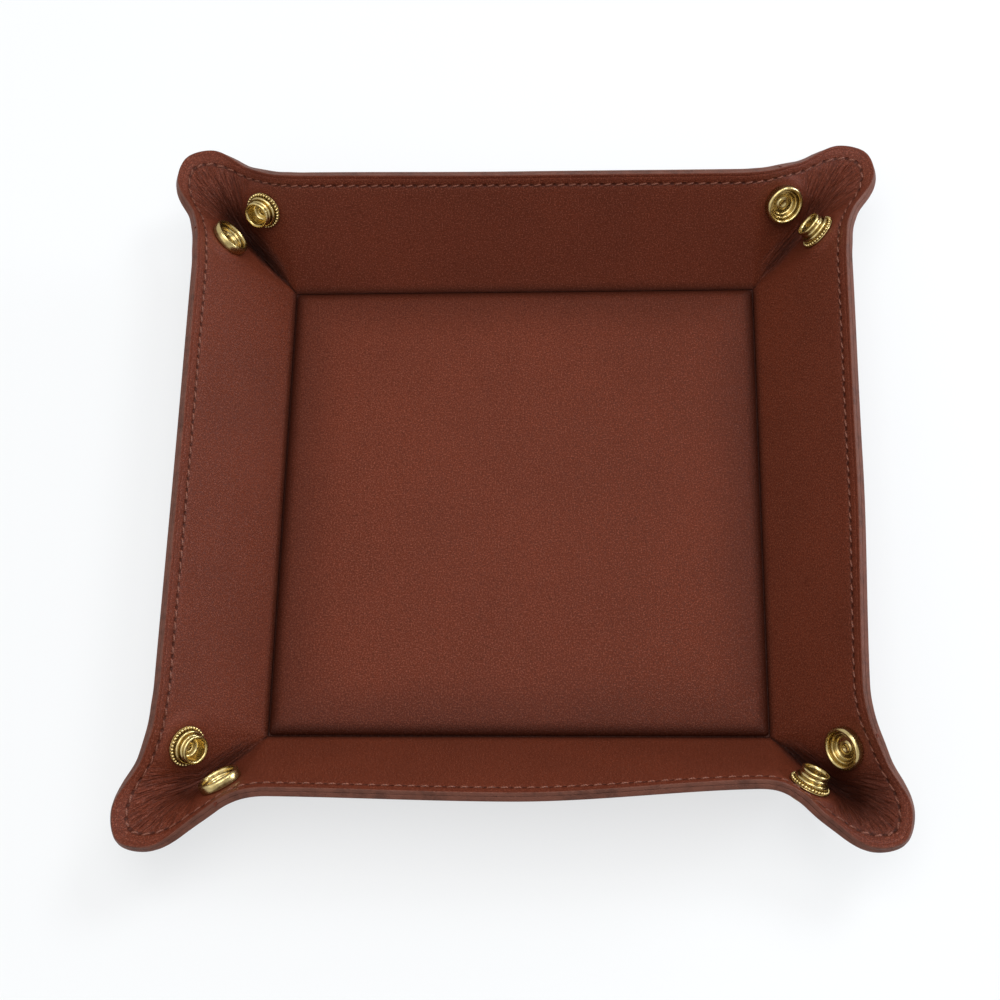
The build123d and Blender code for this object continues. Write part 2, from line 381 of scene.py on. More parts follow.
def mirrored_angle(angle):
    """Angle round the corner, or past the diagonal the one that mirrors it there."""
    return np.where(angle > diagonal, 2 * diagonal - angle, angle)


def fold_distance(x, y):
    """Distance on the flat sheet from the base: x beside one wall's end, y beside the next one's,
    and between them the distance from the corner."""
    return np.where(y < 0, x, np.where(x < 0, y, np.hypot(x, y)))


def fan_sum(angle):
    """Sum of the creased sheet's directions from angle zero: sine of the angle along the wall's
    slope, and one less its cosine along the wall before zero and across the ear after it. Past
    the diagonal it goes on as the mirror image."""
    def half(turn):
        """The same sum up to the diagonal only."""
        turn = turn[..., None]
        return np.sin(turn) * up_wall + (1 - np.cos(turn)) * np.where(turn < 0, along_wall, across_ear)
    first = half(mirrored_angle(angle))
    middle = half(np.full_like(angle, diagonal))
    return np.where((angle > diagonal)[..., None], middle + swapped(middle - first), first)


def sheet_direction(angle, reach):
    """Direction from the corner at an angle round it: the creased sheet's directions averaged
    over a window about the angle, and brought back to unit length."""
    valley = valley_spread_near + (valley_spread_far - valley_spread_near) * smooth(
        reach, valley_near_reach, valley_far_reach)
    share = smooth(np.abs(angle - diagonal), np.radians(valley_border), np.radians(valley_middle))
    spread = np.radians(end_fold_spread + (valley - end_fold_spread) * share)
    direction = fan_sum(angle + spread) - fan_sum(angle - spread)
    return direction / np.linalg.norm(direction, axis=-1, keepdims=True)


def rim_reach(angle, inset):
    """Distance from the corner to the rim, less an inset: the straight edge at wall height until
    the lobe's round corner, then the far crossing of the ray and the lobe's circle."""
    mirrored = mirrored_angle(angle)
    height = wall_height - inset
    radius = lobe_radius - inset
    straight = height / np.cos(mirrored)
    toward = lobe_centre * (np.cos(mirrored) + np.sin(mirrored))
    inside = np.maximum(toward ** 2 - (2 * lobe_centre ** 2 - radius ** 2), 0)
    return np.where(mirrored > np.arctan(lobe_centre / height), toward + np.sqrt(inside), straight)


def flare_table(values):
    """Values at the flare's angles as a fine table, rounded off by a moving average."""
    fine = np.arange(flare_table_start, flare_table_end, flare_table_step)
    mirrored = np.where(fine > flare_angles[-1], 2 * flare_angles[-1] - fine, fine)
    width = int(2 * flare_blur / flare_table_step) + 1
    window = np.hanning(width + 2)
    rough = np.interp(mirrored, flare_angles, values)
    return np.radians(fine), np.convolve(rough, window / window.sum(), mode="same")


flare_tables = [flare_table(values) for values in (flare_out, flare_up, flare_aside)]


def flare(angle, reach, corner):
    """Shift of the sheet in an ear: outwards along the diagonal, up and aside, full at the rim
    and falling off inwards with a high power of the reach."""
    mirrored = mirrored_angle(angle)
    out, up, aside = [np.interp(mirrored, *table) for table in flare_tables]
    aside = aside * np.where(angle > diagonal, 1, -1)
    root = np.sqrt(1 / 2)
    shift = np.stack([(out - aside) * root, (out + aside) * root, up], -1)
    share = (reach / rim_reach(np.clip(angle, 0, 2 * diagonal), 0)) ** flare_power
    tip = np.sin(2 * np.clip(angle, 0, 2 * diagonal)) ** 2
    return (shift + tip[..., None] * np.array(lobe_shifts[corner % 4])) * share[..., None]


def valley_shift(angle, reach, corner):
    """Shift of the valley's bottom, out along the diagonal and down: a pointed bell across the
    diagonal, rising from the base's corner and falling off before the rim."""
    start, full, fall, end = valley_push_reach
    bell = (1 - smooth(np.abs(angle - diagonal), 0, np.radians(valley_push_width))) ** valley_push_power
    amount = valley_pushes[corner % 4] * bell * smooth(reach, start, full) * (1 - smooth(reach, fall, end))
    away = np.array([1.0, 1.0, -1.0]) / np.sqrt(3)
    return amount[..., None] * away


def rim_shift(place, wall):
    """How far a wall's rim stands out at a place along it, from its middle value to the end's."""
    near, middle, far = rim_shifts[wall % 4]
    end = np.where(place > 0, far, near)
    return middle + (end - middle) * smooth(np.abs(place), 0, half_side)


def sheet(x, y, corner):
    """Lining's face, from flat coordinates about a corner of the base. x runs up one wall's end and
    y up the next one's. The point lies at the same distance from the corner as on the flat
    sheet, in the rounded sheet's direction, plus the shifts of the walls' rims and the lobe's
    flare. Under a snap it is the flat half of the ear itself."""
    angle = np.arctan2(y, x)
    reach = np.hypot(x, y)
    start, end = np.radians(rim_shift_angles)
    point = reach[..., None] * sheet_direction(angle, reach) + flare(angle, reach, corner)
    point = point + valley_shift(angle, reach, corner)
    for mirror, turn, run, rise in ((False, angle, y, x), (True, 2 * diagonal - angle, x, y)):
        place = half_side + np.minimum(run, 0)
        wall = corner + 1 if mirror else corner
        height = np.where(turn < 0, np.maximum(rise, 0), reach) / wall_height
        amount = rim_shift(-place if mirror else place, wall) * (1 - smooth(turn, start, end))
        outward = np.array([1.0, 0, -rim_drop_share])
        shift = (amount * height ** rim_shift_power)[..., None] * outward
        point = point + (swapped(shift) if mirror else shift)
    mirrored = mirrored_angle(angle)[..., None]
    flat = reach[..., None] * (np.cos(mirrored) * up_wall
                               + np.sin(mirrored) * np.where(mirrored < 0, along_wall, across_ear))
    flat = np.where((angle > diagonal)[..., None], swapped(flat), flat)
    seat = 1 - smooth(snap_distance(x, y), snap_seat_radius, snap_seat_border)
    return point + (flat - point) * seat[..., None]


def snap_distance(x, y):
    """Distance on the flat sheet to the nearer snap of the ear."""
    return np.minimum(np.hypot(x - snap_along, y - snap_across), np.hypot(y - snap_along, x - snap_across))


def sheet_normal(x, y, corner):
    """Unit normal on the lining's side: the cross product of the sheet's slopes along x and y."""
    step = np.full_like(x, slope_step)
    slope_x = sheet(x + step, y, corner) - sheet(x - step, y, corner)
    slope_y = sheet(x, y + step, corner) - sheet(x, y - step, corner)
    normal = np.cross(slope_x, slope_y)
    return normal / np.linalg.norm(normal, axis=-1, keepdims=True)


def skin(x, y, corner):
    """Vector from the lining's face to the outer leather's face: a plain shift out and down close
    to the base, so that nothing pinches at its corners, and the full thickness against the
    normal further out."""
    beside_x = (np.clip(half_side + y, 0, half_side) / half_side) ** wrap_power
    beside_y = (np.clip(half_side + x, 0, half_side) / half_side) ** wrap_power
    wrap = np.stack([wrap_out * beside_y, wrap_out * beside_x, np.full_like(x, -fold_height)], -1)
    share = smooth(fold_distance(x, y), wrap_start, wrap_end)[..., None]
    return wrap * (1 - share) - leather_thickness * sheet_normal(x, y, corner) * share


def fan_place(x, y):
    """Angle of the pleats about the pinch, and distance along the diagonal. The angle's tangent is
    the distance across the diagonal over the pinch's width plus the distance past the pinch."""
    along, across = (x + y) / np.sqrt(2), (y - x) / np.sqrt(2)
    width = pinch_width + np.maximum(along - pinch_reach, 0)
    return np.arctan2(across, width), along, width


def pleat_share(x, y, inset):
    """Where the pleats are: near the middle of the fan, away from the snaps and the border."""
    fan, along = fan_place(x, y)[:2]
    share = 1 - smooth(np.abs(fan), np.radians(pleat_middle), np.radians(pleat_border))
    share = share * smooth(along, pleat_start, pleat_full)
    share = share * smooth(inset, seam_inset * pleat_inset_share, border_width)
    return share * smooth(snap_distance(x, y), snap_seat_radius, snap_seat_border)


def relief(x, y, inset):
    """Depth of the sewn channel, the fine groove beside the rim and the pleats of the valley: two
    bells about their insets, and sines across the fan that fade where they get too fine."""
    channel = channel_depth * np.exp(-((inset - seam_inset) / channel_width) ** 2)
    groove = groove_depth * np.exp(-((inset - groove_inset) / groove_width) ** 2)
    fan, along, width = fan_place(x, y)
    waves = sum(np.sin(count * fan + twist * along / wall_height + count)
                * smooth(2 * np.pi * width / count, pleat_finest, pleat_plain)
                for count, twist in zip(pleat_counts, pleat_twists))
    return channel + groove + pleat_depth * waves * pleat_share(x, y, inset)


def turn_matrix(quarter):
    """Matrix that turns row vectors from the right wall's place to another quarter's."""
    cosine, sine = ((1, 0), (0, 1), (-1, 0), (0, -1))[quarter % 4]
    return np.array([[cosine, sine, 0], [-sine, cosine, 0], [0, 0, 1.0]])


def turned_to(points, quarter):
    """Points about a corner moved to the base's corner and turned to their quarter."""
    return (points + base_corner) @ turn_matrix(quarter)


def layer_points(x, y, depth, corner):
    """Points at a depth below the lining's face."""
    share = (depth / leather_thickness)[..., None]
    return turned_to(sheet(x, y, corner) + skin(x, y, corner) * share, corner)


# Meshes from arrays

def new_piece(name, points, faces, sharp_angle=leather_sharp_angle):
    """Mesh object from points and faces, with outward faces, smooth shading and sharp cut edges."""
    mesh = bpy.data.meshes.new(name)
    mesh.from_pydata(points.reshape(-1, 3).tolist(), [], faces)
    edit = bmesh.new()
    edit.from_mesh(mesh)
    bmesh.ops.recalc_face_normals(edit, faces=edit.faces)
    edit.to_mesh(mesh)
    edit.free()
    mesh.shade_smooth()
    mesh.set_sharp_from_angle(angle=np.radians(sharp_angle))
    piece = bpy.data.objects.new(name, mesh)
    bpy.context.scene.collection.objects.link(piece)
    return piece


def loop_faces(columns, loop):
    """Quads round a closed loop from column to column, and strips that close both ends by
    joining each point of the loop to the one opposite."""
    index = np.arange(columns * loop).reshape(columns, loop)
    after = np.roll(index, -1, axis=1)
    body = np.stack([index[:-1], index[1:], after[1:], after[:-1]], -1).reshape(-1, 4)
    half = np.arange(loop // 2 - 1)
    ends = [np.stack([row[half], row[half + 1], row[loop - 2 - half], row[loop - 1 - half]], -1)
            for row in (index[0], index[-1])]
    return np.concatenate([body] + ends).tolist()


def tube_faces(count, rings, steps):
    """Quads of many alike closed tubes of rings, with a face over each end."""
    start = (np.arange(count) * rings * steps)[:, None, None]
    index = start + np.arange(rings * steps).reshape(rings, steps)
    after = np.roll(index, -1, axis=2)
    body = np.stack([index[:, :-1], index[:, 1:], after[:, 1:], after[:, :-1]], -1).reshape(-1, 4)
    return body.tolist() + index[:, 0].tolist() + index[:, -1].tolist()


def set_values(piece, name, values):
    """A named value on every vertex, for the materials."""
    attribute = piece.data.attributes.new(name, "FLOAT", "POINT")
    attribute.data.foreach_set("value", np.asarray(values, np.float32).ravel())


def set_flat_map(piece, flat, name="flat"):
    """UV map that holds each vertex's place on the flat sheet, in metres, or another pair of values."""
    loops = np.zeros(len(piece.data.loops), np.int32)
    piece.data.loops.foreach_get("vertex_index", loops)
    layer = piece.data.uv_layers.new(name=name)
    layer.data.foreach_set("uv", flat.reshape(-1, 2)[loops].astype(np.float32).ravel())


def flat_places(x, y, quarter):
    """Places on the whole flat sheet of points about a corner."""
    return np.stack([half_side + x, half_side + y], -1) @ turn_matrix(quarter)[:2, :2]


def edge_outline(near, far):
    """Insets and depths of a cut edge between two depths: a quarter round at the face that shows
    and a smaller one at the hidden face."""
    turn = np.linspace(0, np.pi / 2, edge_rows)
    way = np.sign(far - near)
    front = np.stack([edge_round * (1 - np.sin(turn)), near + way * edge_round * (1 - np.cos(turn))])
    back = np.stack([back_round * (1 - np.cos(turn)), far - way * back_round * (1 - np.sin(turn))])
    return np.concatenate([front, back], axis=1)


def layer_rows(near, far, inside):
    """One closed loop across a layer as rows of (share, inset, depth, paint): out along the face
    that shows, round the cut edge and back along the hidden face. Share counts up to the
    border; from there the inset takes over."""
    shares = np.linspace(first_share, 1, inside)
    insets = np.linspace(border_width, edge_round, border_rows + 1)[1:-1]
    edge_insets, edge_depths = edge_outline(near, far)
    out_share = np.concatenate([shares, np.ones(len(insets))])
    out_inset = np.concatenate([np.full(inside, border_width), insets])
    paint = np.clip(1 - edge_insets / edge_round, 0, 1)
    share = np.concatenate([out_share, np.ones(len(edge_insets)), out_share[::-1]])
    inset = np.concatenate([out_inset, edge_insets, out_inset[::-1]])
    depth = np.concatenate([np.full(len(out_share), near), edge_depths, np.full(len(out_share), far)])
    shade = np.concatenate([np.zeros(len(out_share)), paint, np.zeros(len(out_share))])
    return share, inset, depth, shade


def finish_sheet(piece, x, y, inset, shade, depth, corner):
    """The maps that the leather reads: flat places, edge paint, the valley's wrinkles, and painted
    shade in the sewn channel, at the foot of the walls and deep in the valley."""
    set_flat_map(piece, flat_places(x, y, corner))
    set_values(piece, "edge_paint", shade)
    set_values(piece, "depth", depth + np.zeros_like(x))
    angle = np.arctan2(y, x)
    fan, along = fan_place(x, y)[:2]
    set_flat_map(piece, np.stack([fan * fan_size, along * fan_stretch], -1), "fan")
    set_values(piece, "valley", pleat_share(x, y, inset))
    set_flat_map(piece, np.stack([seam_run(x, y), inset + np.zeros_like(x)], -1), "seam")
    height = fold_distance(x, y)
    # Painted shade: a bell about the seam line, a fade up from the wall's foot, and a wedge along the valley
    # whose strength, width and start differ from corner to corner
    channel = channel_painted_shade * np.exp(-((inset - seam_inset) / channel_painted_shade_width) ** 2)
    foot = foot_painted_shade * (1 - smooth(height, 0, foot_painted_shade_height))
    start, width = valley_painted_shade_starts[corner % 4], np.radians(valley_painted_shade_widths[corner % 4])
    painted_valley_shade = valley_painted_shades[corner % 4] * (1 - smooth(np.abs(angle - diagonal), 0, width)) * (
        1 - smooth(height, start, start + valley_painted_shade_fade))
    set_values(piece, "painted_shade", np.clip(channel + foot + painted_valley_shade, 0, 1))
    return piece


def seam_run(x, y):
    """Distance along the seam from the middle of a wall, for the place on it that is nearest to a
    point: straight along the wall, round the lobe's centre as a turn times the seam's bend."""
    turn = np.clip(np.arctan2(y - lobe_centre, x - lobe_centre), 0, np.pi / 2)
    turn = np.where((x > lobe_centre) & (y > lobe_centre), turn, np.where(x > y, 0, np.pi / 2))
    beyond = np.maximum(lobe_centre - x, 0) * (y >= x)
    before = np.minimum(y - lobe_centre, 0) * (x > y)
    return seam_straight + turn * seam_bend + beyond + before


def corner_layer(name, corner, start, end, columns, near, far):
    """Layer of leather between two angles round a corner, from the corner to the rim."""
    share, inset, depth, shade = layer_rows(near, far, ear_rows)
    angle = np.radians(np.linspace(start, end, columns))[:, None] + np.zeros_like(share)
    reach = share * rim_reach(angle, inset)
    x, y = reach * np.cos(angle), reach * np.sin(angle)
    inside = np.abs(depth - near) < np.abs(depth - far)
    depth = depth + np.where(inside, np.sign(far - near) * relief(x, y, inset), 0)
    points = layer_points(x, y, depth, corner)
    piece = new_piece(name, points, loop_faces(columns, len(share)))
    return finish_sheet(piece, x, y, inset, np.broadcast_to(shade, x.shape), depth, corner)


def wall_points(height, place, depth, wall):
    """Points of a wall at heights on the sheet and places along it. Each half of the wall uses the
    flat coordinates about its own corner."""
    far_half = layer_points(height, place - half_side, depth, wall)
    near_half = layer_points(-place - half_side, height, depth, wall - 1)
    return np.where((place > 0)[..., None], far_half, near_half)


def wall_layer(name, wall, near, far):
    """Layer of a wall between its near split and its far end, from the fold line to the rim. The
    outer leather's first rows wrap the fold line down to the underside, along a curve between
    three points."""
    outer = near > far
    share, inset, depth, shade = layer_rows(near, far, inner_rows)
    height = share * (wall_height - inset)
    columns = np.linspace(0, 1, wall_columns)[:, None]
    slant = np.tan(np.radians(near_split - 90))
    place = -half_side + height * slant + columns * (2 * half_side - height * slant)
    height = height + np.zeros_like(place)
    inside = np.abs(depth - near) < np.abs(depth - far)
    depth = depth + np.where(inside, np.sign(far - near) * relief(height, place - half_side, inset), 0)
    if outer:
        pocket = smooth(height, board_start - stitch_radius, board_start) * (1 - smooth(
            height, wall_height - board_rim_margin, wall_height - board_rim_margin + stitch_radius))
        depth = np.where(inside, depth, depth + (board_thickness + layer_gap) * pocket)
    points = wall_points(height, place, depth, wall)
    if outer:
        points = wrap_fold_line(points, place, wall)
    piece = new_piece(name, points, loop_faces(wall_columns, len(share)))
    paint = np.broadcast_to(shade, place.shape)
    return finish_sheet(piece, height, place - half_side, inset, paint, depth, wall)


def wrap_fold_line(points, place, wall):
    """Moves the first rows of the face that shows onto a curve from the underside's edge, past the
    corner of wall and table, up to the wall: the square of what is left times the start, twice
    the product times the corner, and the square of the way times the end."""
    turn = turn_matrix(wall)
    way = np.linspace(0, 1, wrap_rows + 1)[:wrap_rows, None]
    side = place[:, :1] + np.zeros(wrap_rows)
    start = np.stack([np.full_like(side, half_side - wrap_inside), side, np.zeros_like(side)], -1)
    shift = wrap_out * (np.abs(side) / half_side) ** wrap_power * np.sign(side)
    bend = np.stack([np.full_like(side, half_side + wrap_out), side + shift, np.zeros_like(side)], -1)
    end = points[:, wrap_rows:wrap_rows + 1] @ turn.T
    curve = start * (1 - way) ** 2 + bend * 2 * way * (1 - way) + end * way ** 2
    moved = points.copy()
    moved[:, :wrap_rows] = curve @ turn
    return moved


def wall_board(name, wall):
    """Board in a wall: a closed loop of rows between its two depths that follows the sheet."""
    heights = np.linspace(board_start, wall_height - board_rim_margin, inner_rows)
    height = np.concatenate([heights, heights[::-1]])
    thin = lining_thickness + layer_gap
    depth = np.repeat([thin, thin + board_thickness - layer_gap], inner_rows)
    reach = half_side - board_end_margin
    place = np.linspace(-reach, reach, wall_columns)[:, None] + np.zeros_like(height)
    height, depth = height + np.zeros_like(place), depth + np.zeros_like(place)
    points = wall_points(height, place, depth, wall)
    return new_piece(name, points, loop_faces(wall_columns, height.shape[1]))


def fold_core(name, corner, line):
    """Core of the sheet along a line from the corner, at an angle round it: a closed loop of rows
    inside the leather, so that no light shows through where the sheet is split. It narrows with
    the reach close to the corner, and it is a wedge: its lower depth is the thickness less the
    cover and less a share of the distance from the line, so that less of it comes out of a
    fold that opens or closes."""
    cosine, sine = np.cos(np.radians(line)), np.sin(np.radians(line))
    run = np.linspace(core_start, rim_reach(np.radians(line), core_rim_gap), ear_rows)
    run = np.concatenate([run, run[::-1]])
    across = np.linspace(-1, 1, core_columns)[:, None]
    aside = across * np.minimum(core_reach, core_spread_share * run)
    run = run + np.zeros_like(aside)
    lower = leather_thickness - core_cover - core_taper_share * np.abs(aside)
    depth = np.where(np.arange(run.shape[1]) < ear_rows, core_cover, lower)
    x, y = run * cosine - aside * sine, run * sine + aside * cosine
    piece = new_piece(name, layer_points(x, y, depth, corner), loop_faces(core_columns, x.shape[1]))
    return finish_sheet(piece, x, y, np.full_like(x, border_width), np.zeros_like(x), depth, corner)


# Seam

def seam_places():
    """Stitches from the middle of one wall round a corner to the middle of the next, evenly spaced:
    flat coordinates about the corner and the seam's direction. The path is straight, then a
    quarter circle round the lobe, then straight again."""
    run = (np.arange(stitch_count) + 1 / 2) * stitch_spacing
    turn = np.clip((run - seam_straight) / seam_bend, 0, np.pi / 2)
    beyond = np.maximum(run - seam_straight - seam_bend * np.pi / 2, 0)
    before = np.minimum(run - seam_straight, 0)
    x = lobe_centre + seam_bend * np.cos(turn) - beyond
    y = lobe_centre + seam_bend * np.sin(turn) + before
    return x, y, turn + np.pi / 2


def stitch_mesh(name, x, y, heading, corner):
    """Stitches on both faces: tubes with rounded ends that lie slantwise across the seam line, rise
    in the middle and dip into their holes."""
    t = np.linspace(-1, 1, stitch_rings)[None, :, None]
    around = np.arange(stitch_steps)[None, None, :] * 2 * np.pi / stitch_steps
    swell = (1 - stitch_end_share) * np.sqrt(1 - stitch_round_share * t ** 2)
    width = stitch_radius * (stitch_end_share + swell)
    rise = stitch_rise - stitch_sink * t ** stitch_dip_power + width * np.sin(around)
    clouds = []
    for face, way, slant in ((0, -1, seam_slant), (leather_thickness, 1, -seam_slant)):
        turn = heading[:, None, None] + np.radians(slant)
        run = t * stitch_length / 2
        aside = width * np.cos(around)
        flat_x = x[:, None, None] + run * np.cos(turn) - aside * np.sin(turn)
        flat_y = y[:, None, None] + run * np.sin(turn) + aside * np.cos(turn)
        depth = face + way * rise - way * channel_depth + np.zeros_like(flat_x)
        clouds.append(layer_points(flat_x, flat_y, depth, corner))
    points = np.concatenate(clouds)
    faces = tube_faces(len(points), stitch_rings, stitch_steps)
    return new_piece(name, points, faces, stitch_sharp_angle)


# Pad and underside

def rounded_square(half, radius):
    """Closed outline of a square with round corners: along each side, then round a quarter circle."""
    side = np.linspace(-(half - radius), half - radius, pad_side_steps)
    arc = np.linspace(0, np.pi / 2, pad_corner_steps + 2)[1:-1]
    x = np.concatenate([np.full(pad_side_steps, half), half - radius + radius * np.cos(arc)])
    y = np.concatenate([side, half - radius + radius * np.sin(arc)])
    outline = np.stack([x, y, np.zeros_like(x)], -1)
    return np.concatenate([outline @ turn_matrix(quarter) for quarter in range(4)])


def ring_stack(name, insets, heights, half, radius, growth):
    """Closed body from rounded squares, one for each inset and height, with a face at each end."""
    rings = []
    for inset, height in zip(insets, heights):
        corner = np.clip(radius + growth * inset, 0, half - inset)
        ring = rounded_square(half - inset, corner)
        ring[:, 2] = height
        rings.append(ring)
    points = np.array(rings)
    return new_piece(name, points, tube_faces(1, len(rings), points.shape[1])), points


def pad():
    """Padded lining of the base. Its height over the fold line is a rounded roll at the edge, a
    shoulder that rises on as a quarter sine, and a slow crown."""
    half = half_side - pad_side_gap
    inset = half * closed_share * np.linspace(0, 1, pad_rows) ** pad_row_power
    edge = np.clip(inset / pad_roll_width, 0, 1)
    roll = pad_roll_height * (1 - (1 - edge) ** pad_roll_power) ** (1 / pad_roll_power)
    shoulder = pad_shoulder * np.sin(np.clip(inset / pad_shoulder_width, 0, 1) * np.pi / 2)
    height = fold_height + roll + shoulder + pad_crown * smooth(inset, 0, pad_crown_width)
    insets = np.concatenate([[inset[-1]], [0], inset])
    heights = np.concatenate([[fold_height], [fold_height], height + layer_gap])
    piece, points = ring_stack("base_pad", insets, heights, half, pad_corner_radius, pad_corner_growth)
    set_flat_map(piece, points[..., :2])
    # Painted shade: dark at the pad's edge, fading over a narrow band, and a share of it over a wide band
    painted_shade = 1 - smooth(insets, 0, pad_painted_shade_width) * (1 - pad_painted_wide_shade)
    painted_shade = painted_shade - pad_painted_wide_shade * smooth(insets, 0, pad_painted_wide_shade_width)
    set_values(piece, "painted_shade", painted_shade[:, None] + np.zeros(points.shape[1]))
    return piece


def underside():
    """Outer leather under the base: a thin slab whose lower edge meets the walls' wrapped leather."""
    half = half_side - wrap_inside
    insets = np.array([half * closed_share, half / 2, 0, 0, half / 2, half * closed_share])
    heights = np.array([0, 0, 0, 1, 1, 1]) * underside_thickness
    piece, points = ring_stack("base_underside", insets, heights, half, back_round, 0)
    set_flat_map(piece, points[..., :2])
    # Painted shade: the top faces are darkened in full, so that what shows of them in the gap beside the pad
    # is dark
    set_values(piece, "painted_shade", np.repeat(heights > 0, points.shape[1]))
    return piece


# Snaps

def turned_points(outline, steps):
    """Rings of a body of revolution: each outline point's radius times cosine and sine, and its height."""
    angle = np.arange(steps) * 2 * np.pi / steps
    radius, height = np.array(outline, float).T * snap_radius
    radius = np.maximum(radius, snap_radius * axis_hole_share)
    return np.stack([radius[:, None] * np.cos(angle), radius[:, None] * np.sin(angle),
                     height[:, None] + np.zeros(steps)], -1)


def ear_frame(corner, mirror):
    """Place and axes of a snap on its half of an ear: up the wall's end, across and along the normal."""
    normal = np.cross(up_wall, across_ear)
    place = snap_along * up_wall + snap_across * across_ear
    axes = [up_wall, across_ear, normal]
    if mirror:
        place = swapped(place)
        axes = [swapped(up_wall), -swapped(across_ear), swapped(normal)]
    return turned_to(place, corner), np.array(axes) @ turn_matrix(corner)


def pearl_ring():
    """Balls in a ring on the stud's foot: sines and cosines of two angles about centres on a circle."""
    angle = np.arange(pearl_count) * 2 * np.pi / pearl_count
    polar = np.linspace(pearl_pole_radians, np.pi - pearl_pole_radians, pearl_rows)[:, None]
    around = np.arange(pearl_steps)[None, :] * 2 * np.pi / pearl_steps
    ball = pearl_radius_share * snap_radius * np.stack(
        [np.sin(polar) * np.cos(around), np.sin(polar) * np.sin(around),
         np.cos(polar) + np.zeros_like(around)], -1)
    centre = snap_radius * np.stack([pearl_ring_share * np.cos(angle), pearl_ring_share * np.sin(angle),
                                     np.full(pearl_count, pearl_height_share)], -1)
    return (centre[:, None, None, :] + ball).reshape(-1, 3)


def snap_piece(name, outline, corner, mirror, below=False, pearls=False):
    """Snap part on an ear: a turned body, stood on the ear's face or turned over on its back."""
    body = turned_points(outline, snap_steps)
    faces = tube_faces(1, len(body), snap_steps)
    points = body.reshape(-1, 3)
    if pearls:
        extra = tube_faces(pearl_count, pearl_rows, pearl_steps)
        faces = faces + [[index + len(points) for index in face] for face in extra]
        points = np.concatenate([points, pearl_ring()])
    if below:
        points = points * [1, -1, -1] - [0, 0, leather_thickness]
    place, axes = ear_frame(corner, mirror)
    return new_piece(name, place + points @ axes, faces, snap_sharp_angle)


# Materials

def new_group(name, inputs, outputs):
    """Empty node group with named sockets: (name, kind, value) going in and (name, kind) out."""
    group = bpy.data.node_groups.new(name, "ShaderNodeTree")
    for title, kind, value in inputs:
        socket = group.interface.new_socket(title, in_out="INPUT", socket_type=kind)
        if value is not None:
            socket.default_value = value
    for title, kind in outputs:
        group.interface.new_socket(title, in_out="OUTPUT", socket_type=kind)
    return group, group.nodes.new("NodeGroupInput"), group.nodes.new("NodeGroupOutput")


def node(tree, kind, settings=(), **inputs):
    """Node with its settings and inputs. An input is a value or another node's output socket."""
    made = tree.nodes.new(kind)
    for key, value in dict(settings).items():
        setattr(made, key, value)
    for key, value in inputs.items():
        title = key.replace("_", " ")
        socket = made.inputs[int(key[1:])] if key[0] == "i" and key[1:].isdigit() else made.inputs[title]
        if isinstance(value, bpy.types.NodeSocket):
            tree.links.new(value, socket)
        else:
            socket.default_value = value
    return made


def math_node(tree, operation, *values, clamp=False):
    """Math node's output."""
    inputs = {"i" + str(index): value for index, value in enumerate(values)}
    return node(tree, "ShaderNodeMath", {"operation": operation, "use_clamp": clamp}, **inputs).outputs[0]


def spread(tree, value, low, high, to_low=0.0, to_high=1.0):
    """Value stretched from one range to another and kept inside it."""
    made = node(tree, "ShaderNodeMapRange", {"interpolation_type": "SMOOTHSTEP"}, Value=value)
    for index, number in enumerate((low, high, to_low, to_high), 1):
        made.inputs[index].default_value = number
    return made.outputs[0]


def mixed(tree, share, first, second):
    """Colour between two colours."""
    made = tree.nodes.new("ShaderNodeMix")
    made.data_type = "RGBA"
    for socket, value in ((made.inputs[0], share), (made.inputs[6], first), (made.inputs[7], second)):
        if isinstance(value, bpy.types.NodeSocket):
            tree.links.new(value, socket)
        else:
            socket.default_value = value
    return made.outputs[2]


def noise(tree, place, scale, detail=2.0, roughness=0.5):
    """Soft noise at a place."""
    made = node(tree, "ShaderNodeTexNoise", Vector=place, Scale=scale, Detail=detail, Roughness=roughness)
    return made.outputs["Fac"]


def vertex_value(tree, name):
    """A piece's own value on its vertices."""
    return node(tree, "ShaderNodeAttribute", {"attribute_name": name}).outputs["Fac"]


def sheet_map(tree, name):
    """Place on one of a piece's maps."""
    return node(tree, "ShaderNodeUVMap", {"uv_map": name}).outputs[0]


def object_place(tree):
    """Place in the tray's own frame."""
    return node(tree, "ShaderNodeTexCoord").outputs["Object"]


def darkened(colour, share):
    """Colour with its channels times a share."""
    return [channel * share for channel in colour[:3]] + [1]


def new_material(name):
    """Material, its node tree and the shader in it."""
    material = bpy.data.materials.new(name)
    material.use_nodes = True
    tree = material.node_tree
    return material, tree, tree.nodes["Principled BSDF"]


def finish_shader(tree, shader, colour, roughness, height, strength, distance):
    """Joins a colour, a roughness and the relief of a height to a shader."""
    bump = node(tree, "ShaderNodeBump", Height=height, Strength=strength, Distance=distance)
    tree.links.new(colour, shader.inputs["Base Color"])
    tree.links.new(roughness, shader.inputs["Roughness"])
    tree.links.new(bump.outputs[0], shader.inputs["Normal"])


def seen_share(tree):
    """One where the camera or a gloss sees a surface, and zero where it only lights the tray."""
    path = tree.nodes.new("ShaderNodeLightPath")
    return math_node(tree, "MAXIMUM", path.outputs["Is Camera Ray"], path.outputs["Is Glossy Ray"])


